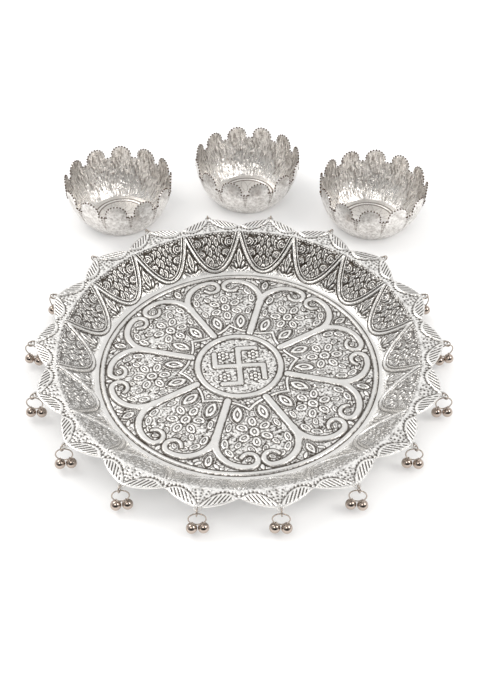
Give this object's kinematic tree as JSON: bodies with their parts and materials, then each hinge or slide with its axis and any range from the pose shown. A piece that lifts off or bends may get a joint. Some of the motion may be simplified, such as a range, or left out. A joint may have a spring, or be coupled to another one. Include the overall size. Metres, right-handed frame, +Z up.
{
  "type": "puja thali",
  "caption": "Round scalloped puja tray of embossed silver sheet, hung round its rim with pairs of small bells on rings, set with matching petal-edged bowls.",
  "frame": {"origin": "centre of the tray's base, on the surface that it stands on", "axes": "+Z up, -Y towards the front, +X to the right; the bowls stand behind, towards +Y"},
  "size_m": [0.3263, 0.4259, 0.043],
  "materials": {
    "tray_silver": "bright embossed white metal with dark oxidised recesses",
    "bowl_silver": "bright embossed white metal, slightly warm",
    "nickel": "polished warm nickel plating"
  },
  "bodies": {
    "tray": {"tray": "tray_silver", "rim_links": "nickel"},
    "bowl_left": {"bowl_left": "bowl_silver"},
    "bowl_middle": {"bowl_middle": "bowl_silver"},
    "bowl_right": {"bowl_right": "bowl_silver"},
    "ring_01": {"ring_01": "nickel"},
    "bell_01_left": {"bell_01_left": "nickel"},
    "bell_01_right": {"bell_01_right": "nickel"},
    "ring_02": {"ring_02": "nickel"},
    "bell_02_left": {"bell_02_left": "nickel"},
    "bell_02_right": {"bell_02_right": "nickel"},
    "ring_03": {"ring_03": "nickel"},
    "bell_03_left": {"bell_03_left": "nickel"},
    "bell_03_right": {"bell_03_right": "nickel"},
    "ring_04": {"ring_04": "nickel"},
    "bell_04_left": {"bell_04_left": "nickel"},
    "bell_04_right": {"bell_04_right": "nickel"},
    "ring_05": {"ring_05": "nickel"},
    "bell_05_left": {"bell_05_left": "nickel"},
    "bell_05_right": {"bell_05_right": "nickel"},
    "ring_06": {"ring_06": "nickel"},
    "bell_06_left": {"bell_06_left": "nickel"},
    "bell_06_right": {"bell_06_right": "nickel"},
    "ring_07": {"ring_07": "nickel"},
    "bell_07_left": {"bell_07_left": "nickel"},
    "bell_07_right": {"bell_07_right": "nickel"},
    "ring_08": {"ring_08": "nickel"},
    "bell_08_left": {"bell_08_left": "nickel"},
    "bell_08_right": {"bell_08_right": "nickel"},
    "ring_09": {"ring_09": "nickel"},
    "bell_09_left": {"bell_09_left": "nickel"},
    "bell_09_right": {"bell_09_right": "nickel"},
    "ring_10": {"ring_10": "nickel"},
    "bell_10_left": {"bell_10_left": "nickel"},
    "bell_10_right": {"bell_10_right": "nickel"},
    "ring_11": {"ring_11": "nickel"},
    "bell_11_left": {"bell_11_left": "nickel"},
    "bell_11_right": {"bell_11_right": "nickel"},
    "ring_12": {"ring_12": "nickel"},
    "bell_12_left": {"bell_12_left": "nickel"},
    "bell_12_right": {"bell_12_right": "nickel"},
    "ring_13": {"ring_13": "nickel"},
    "bell_13_left": {"bell_13_left": "nickel"},
    "bell_13_right": {"bell_13_right": "nickel"},
    "ring_14": {"ring_14": "nickel"},
    "bell_14_left": {"bell_14_left": "nickel"},
    "bell_14_right": {"bell_14_right": "nickel"},
    "ring_15": {"ring_15": "nickel"},
    "bell_15_left": {"bell_15_left": "nickel"},
    "bell_15_right": {"bell_15_right": "nickel"},
    "ring_16": {"ring_16": "nickel"},
    "bell_16_left": {"bell_16_left": "nickel"},
    "bell_16_right": {"bell_16_right": "nickel"},
    "ring_17": {"ring_17": "nickel"},
    "bell_17_left": {"bell_17_left": "nickel"},
    "bell_17_right": {"bell_17_right": "nickel"},
    "ring_18": {"ring_18": "nickel"},
    "bell_18_left": {"bell_18_left": "nickel"},
    "bell_18_right": {"bell_18_right": "nickel"}
  },
  "joints": [
    {"name": "bowl_left_lift", "type": "slide", "parent": "tray", "child": "bowl_left", "axis": [0, 0, 1], "range_m": [0, 0.15]},
    {"name": "bowl_middle_lift", "type": "slide", "parent": "tray", "child": "bowl_middle", "axis": [0, 0, 1], "range_m": [0, 0.15]},
    {"name": "bowl_right_lift", "type": "slide", "parent": "tray", "child": "bowl_right", "axis": [0, 0, 1], "range_m": [0, 0.15]},
    {"name": "ring_01_swing", "type": "hinge", "parent": "tray", "child": "ring_01", "pos_m": [0.02698, -0.15299, 0.02299], "axis": [-0.999, 0.0437, 0], "range_deg": [-50, 60]},
    {"name": "bell_01_left_swing", "type": "hinge", "parent": "ring_01", "child": "bell_01_left", "pos_m": [0.02373, -0.15285, 0.0125], "axis": [-0.999, 0.0437, 0], "range_deg": [-35, 35]},
    {"name": "bell_01_right_swing", "type": "hinge", "parent": "ring_01", "child": "bell_01_right", "pos_m": [0.03022, -0.15313, 0.0125], "axis": [-0.999, 0.0437, 0], "range_deg": [-35, 35]},
    {"name": "ring_02_swing", "type": "hinge", "parent": "tray", "child": "ring_02", "pos_m": [0.07767, -0.13454, 0.02299], "axis": [-0.9945, 0.1045, 0], "range_deg": [-50, 60]},
    {"name": "bell_02_left_swing", "type": "hinge", "parent": "ring_02", "child": "bell_02_left", "pos_m": [0.07444, -0.1342, 0.0125], "axis": [-0.9945, 0.1045, 0], "range_deg": [-35, 35]},
    {"name": "bell_02_right_swing", "type": "hinge", "parent": "ring_02", "child": "bell_02_right", "pos_m": [0.08091, -0.13488, 0.0125], "axis": [-0.9945, 0.1045, 0], "range_deg": [-35, 35]},
    {"name": "ring_03_swing", "type": "hinge", "parent": "tray", "child": "ring_03", "pos_m": [0.119, -0.09986, 0.02299], "axis": [-0.996, 0.0899, 0], "range_deg": [-50, 60]},
    {"name": "bell_03_left_swing", "type": "hinge", "parent": "ring_03", "child": "bell_03_left", "pos_m": [0.11577, -0.09957, 0.0125], "axis": [-0.996, 0.0899, 0], "range_deg": [-35, 35]},
    {"name": "bell_03_right_swing", "type": "hinge", "parent": "ring_03", "child": "bell_03_right", "pos_m": [0.12224, -0.10015, 0.0125], "axis": [-0.996, 0.0899, 0], "range_deg": [-35, 35]},
    {"name": "ring_04_swing", "type": "hinge", "parent": "tray", "child": "ring_04", "pos_m": [0.14598, -0.05313, 0.02299], "axis": [-0.9992, -0.0409, 0], "range_deg": [-50, 60]},
    {"name": "bell_04_left_swing", "type": "hinge", "parent": "ring_04", "child": "bell_04_left", "pos_m": [0.14273, -0.05327, 0.0125], "axis": [-0.9992, -0.0409, 0], "range_deg": [-35, 35]},
    {"name": "bell_04_right_swing", "type": "hinge", "parent": "ring_04", "child": "bell_04_right", "pos_m": [0.14923, -0.053, 0.0125], "axis": [-0.9992, -0.0409, 0], "range_deg": [-35, 35]},
    {"name": "ring_05_swing", "type": "hinge", "parent": "tray", "child": "ring_05", "pos_m": [0.15535, 0, 0.02299], "axis": [-0.9511, -0.309, 0], "range_deg": [-50, 60]},
    {"name": "bell_05_left_swing", "type": "hinge", "parent": "ring_05", "child": "bell_05_left", "pos_m": [0.15226, -0.001, 0.0125], "axis": [-0.9511, -0.309, 0], "range_deg": [-35, 35]},
    {"name": "bell_05_right_swing", "type": "hinge", "parent": "ring_05", "child": "bell_05_right", "pos_m": [0.15844, 0.001, 0.0125], "axis": [-0.9511, -0.309, 0], "range_deg": [-35, 35]},
    {"name": "ring_06_swing", "type": "hinge", "parent": "tray", "child": "ring_06", "pos_m": [0.14598, 0.05313, 0.02299], "axis": [-0.7391, -0.6736, 0], "range_deg": [-50, 60]},
    {"name": "bell_06_left_swing", "type": "hinge", "parent": "ring_06", "child": "bell_06_left", "pos_m": [0.14358, 0.05094, 0.0125], "axis": [-0.7391, -0.6736, 0], "range_deg": [-35, 35]},
    {"name": "bell_06_right_swing", "type": "hinge", "parent": "ring_06", "child": "bell_06_right", "pos_m": [0.14838, 0.05532, 0.0125], "axis": [-0.7391, -0.6736, 0], "range_deg": [-35, 35]},
    {"name": "ring_07_swing", "type": "hinge", "parent": "tray", "child": "ring_07", "pos_m": [0.119, 0.09986, 0.02299], "axis": [-0.2614, -0.9652, 0], "range_deg": [-50, 60]},
    {"name": "bell_07_left_swing", "type": "hinge", "parent": "ring_07", "child": "bell_07_left", "pos_m": [0.11815, 0.09672, 0.0125], "axis": [-0.2614, -0.9652, 0], "range_deg": [-35, 35]},
    {"name": "bell_07_right_swing", "type": "hinge", "parent": "ring_07", "child": "bell_07_right", "pos_m": [0.11986, 0.10299, 0.0125], "axis": [-0.2614, -0.9652, 0], "range_deg": [-35, 35]},
    {"name": "ring_08_swing", "type": "hinge", "parent": "tray", "child": "ring_08", "pos_m": [0.07767, 0.13454, 0.02299], "axis": [0.4067, -0.9135, 0], "range_deg": [-50, 45]},
    {"name": "bell_08_left_swing", "type": "hinge", "parent": "ring_08", "child": "bell_08_left", "pos_m": [0.079, 0.13157, 0.0125], "axis": [0.4067, -0.9135, 0], "range_deg": [-35, 35]},
    {"name": "bell_08_right_swing", "type": "hinge", "parent": "ring_08", "child": "bell_08_right", "pos_m": [0.07635, 0.13751, 0.0125], "axis": [0.4067, -0.9135, 0], "range_deg": [-35, 35]},
    {"name": "ring_09_swing", "type": "hinge", "parent": "tray", "child": "ring_09", "pos_m": [0.02698, 0.15299, 0.02299], "axis": [0.9239, -0.3827, 0], "range_deg": [-50, 45]},
    {"name": "bell_09_left_swing", "type": "hinge", "parent": "ring_09", "child": "bell_09_left", "pos_m": [0.02998, 0.15175, 0.0125], "axis": [0.9239, -0.3827, 0], "range_deg": [-35, 35]},
    {"name": "bell_09_right_swing", "type": "hinge", "parent": "ring_09", "child": "bell_09_right", "pos_m": [0.02397, 0.15423, 0.0125], "axis": [0.9239, -0.3827, 0], "range_deg": [-35, 35]},
    {"name": "ring_10_swing", "type": "hinge", "parent": "tray", "child": "ring_10", "pos_m": [-0.02698, 0.15299, 0.02299], "axis": [0.9239, 0.3827, 0], "range_deg": [-50, 45]},
    {"name": "bell_10_left_swing", "type": "hinge", "parent": "ring_10", "child": "bell_10_left", "pos_m": [-0.02397, 0.15423, 0.0125], "axis": [0.9239, 0.3827, 0], "range_deg": [-35, 35]},
    {"name": "bell_10_right_swing", "type": "hinge", "parent": "ring_10", "child": "bell_10_right", "pos_m": [-0.02998, 0.15175, 0.0125], "axis": [0.9239, 0.3827, 0], "range_deg": [-35, 35]},
    {"name": "ring_11_swing", "type": "hinge", "parent": "tray", "child": "ring_11", "pos_m": [-0.07767, 0.13454, 0.02299], "axis": [0.4067, 0.9135, 0], "range_deg": [-50, 45]},
    {"name": "bell_11_left_swing", "type": "hinge", "parent": "ring_11", "child": "bell_11_left", "pos_m": [-0.07635, 0.13751, 0.0125], "axis": [0.4067, 0.9135, 0], "range_deg": [-35, 35]},
    {"name": "bell_11_right_swing", "type": "hinge", "parent": "ring_11", "child": "bell_11_right", "pos_m": [-0.079, 0.13157, 0.0125], "axis": [0.4067, 0.9135, 0], "range_deg": [-35, 35]},
    {"name": "ring_12_swing", "type": "hinge", "parent": "tray", "child": "ring_12", "pos_m": [-0.119, 0.09986, 0.02299], "axis": [-0.2614, 0.9652, 0], "range_deg": [-50, 60]},
    {"name": "bell_12_left_swing", "type": "hinge", "parent": "ring_12", "child": "bell_12_left", "pos_m": [-0.11986, 0.10299, 0.0125], "axis": [-0.2614, 0.9652, 0], "range_deg": [-35, 35]},
    {"name": "bell_12_right_swing", "type": "hinge", "parent": "ring_12", "child": "bell_12_right", "pos_m": [-0.11815, 0.09672, 0.0125], "axis": [-0.2614, 0.9652, 0], "range_deg": [-35, 35]},
    {"name": "ring_13_swing", "type": "hinge", "parent": "tray", "child": "ring_13", "pos_m": [-0.14598, 0.05313, 0.02299], "axis": [-0.7391, 0.6736, 0], "range_deg": [-50, 60]},
    {"name": "bell_13_left_swing", "type": "hinge", "parent": "ring_13", "child": "bell_13_left", "pos_m": [-0.14838, 0.05532, 0.0125], "axis": [-0.7391, 0.6736, 0], "range_deg": [-35, 35]},
    {"name": "bell_13_right_swing", "type": "hinge", "parent": "ring_13", "child": "bell_13_right", "pos_m": [-0.14358, 0.05094, 0.0125], "axis": [-0.7391, 0.6736, 0], "range_deg": [-35, 35]},
    {"name": "ring_14_swing", "type": "hinge", "parent": "tray", "child": "ring_14", "pos_m": [-0.15535, 0, 0.02299], "axis": [-0.9511, 0.309, 0], "range_deg": [-50, 60]},
    {"name": "bell_14_left_swing", "type": "hinge", "parent": "ring_14", "child": "bell_14_left", "pos_m": [-0.15844, 0.001, 0.0125], "axis": [-0.9511, 0.309, 0], "range_deg": [-35, 35]},
    {"name": "bell_14_right_swing", "type": "hinge", "parent": "ring_14", "child": "bell_14_right", "pos_m": [-0.15226, -0.001, 0.0125], "axis": [-0.9511, 0.309, 0], "range_deg": [-35, 35]},
    {"name": "ring_15_swing", "type": "hinge", "parent": "tray", "child": "ring_15", "pos_m": [-0.14598, -0.05313, 0.02299], "axis": [-0.9992, 0.0409, 0], "range_deg": [-50, 60]},
    {"name": "bell_15_left_swing", "type": "hinge", "parent": "ring_15", "child": "bell_15_left", "pos_m": [-0.14923, -0.053, 0.0125], "axis": [-0.9992, 0.0409, 0], "range_deg": [-35, 35]},
    {"name": "bell_15_right_swing", "type": "hinge", "parent": "ring_15", "child": "bell_15_right", "pos_m": [-0.14273, -0.05327, 0.0125], "axis": [-0.9992, 0.0409, 0], "range_deg": [-35, 35]},
    {"name": "ring_16_swing", "type": "hinge", "parent": "tray", "child": "ring_16", "pos_m": [-0.119, -0.09986, 0.02299], "axis": [-0.996, -0.0899, 0], "range_deg": [-50, 60]},
    {"name": "bell_16_left_swing", "type": "hinge", "parent": "ring_16", "child": "bell_16_left", "pos_m": [-0.12224, -0.10015, 0.0125], "axis": [-0.996, -0.0899, 0], "range_deg": [-35, 35]},
    {"name": "bell_16_right_swing", "type": "hinge", "parent": "ring_16", "child": "bell_16_right", "pos_m": [-0.11577, -0.09957, 0.0125], "axis": [-0.996, -0.0899, 0], "range_deg": [-35, 35]},
    {"name": "ring_17_swing", "type": "hinge", "parent": "tray", "child": "ring_17", "pos_m": [-0.07767, -0.13454, 0.02299], "axis": [-0.9945, -0.1045, 0], "range_deg": [-50, 60]},
    {"name": "bell_17_left_swing", "type": "hinge", "parent": "ring_17", "child": "bell_17_left", "pos_m": [-0.08091, -0.13488, 0.0125], "axis": [-0.9945, -0.1045, 0], "range_deg": [-35, 35]},
    {"name": "bell_17_right_swing", "type": "hinge", "parent": "ring_17", "child": "bell_17_right", "pos_m": [-0.07444, -0.1342, 0.0125], "axis": [-0.9945, -0.1045, 0], "range_deg": [-35, 35]},
    {"name": "ring_18_swing", "type": "hinge", "parent": "tray", "child": "ring_18", "pos_m": [-0.02698, -0.15299, 0.02299], "axis": [-0.999, -0.0437, 0], "range_deg": [-50, 60]},
    {"name": "bell_18_left_swing", "type": "hinge", "parent": "ring_18", "child": "bell_18_left", "pos_m": [-0.03022, -0.15313, 0.0125], "axis": [-0.999, -0.0437, 0], "range_deg": [-35, 35]},
    {"name": "bell_18_right_swing", "type": "hinge", "parent": "ring_18", "child": "bell_18_right", "pos_m": [-0.02373, -0.15285, 0.0125], "axis": [-0.999, -0.0437, 0], "range_deg": [-35, 35]}
  ]
}
